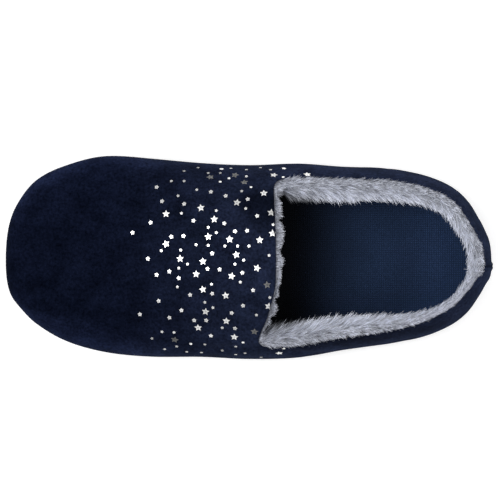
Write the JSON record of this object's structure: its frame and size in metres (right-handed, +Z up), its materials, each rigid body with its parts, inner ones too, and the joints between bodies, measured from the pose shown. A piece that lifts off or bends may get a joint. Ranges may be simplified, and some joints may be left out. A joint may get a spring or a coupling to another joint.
{
  "type": "ballerina slipper",
  "caption": "Soft closed-heel ballerina slipper for the left foot, with a deep fur collar, a padded insole and a thin barred rubber outsole.",
  "frame": {"origin": "middle of the slipper's length and width, on the floor under the sole", "axes": "+X to the toe, +Y to the outer (little toe) side, +Z up"},
  "size_m": [0.2549, 0.1064, 0.0587],
  "materials": {
    "rubber": "matt black moulded sole",
    "textile": "fine navy knit over soft foam",
    "velour": "short-nap navy velour",
    "fur": "long soft grey pile, darker at the root",
    "foil": "silver foil printed on the nap"
  },
  "bodies": {
    "root": {"outsole": "rubber", "insole": "textile", "upper": "velour", "fur_collar": "fur"}
  },
  "joints": []
}
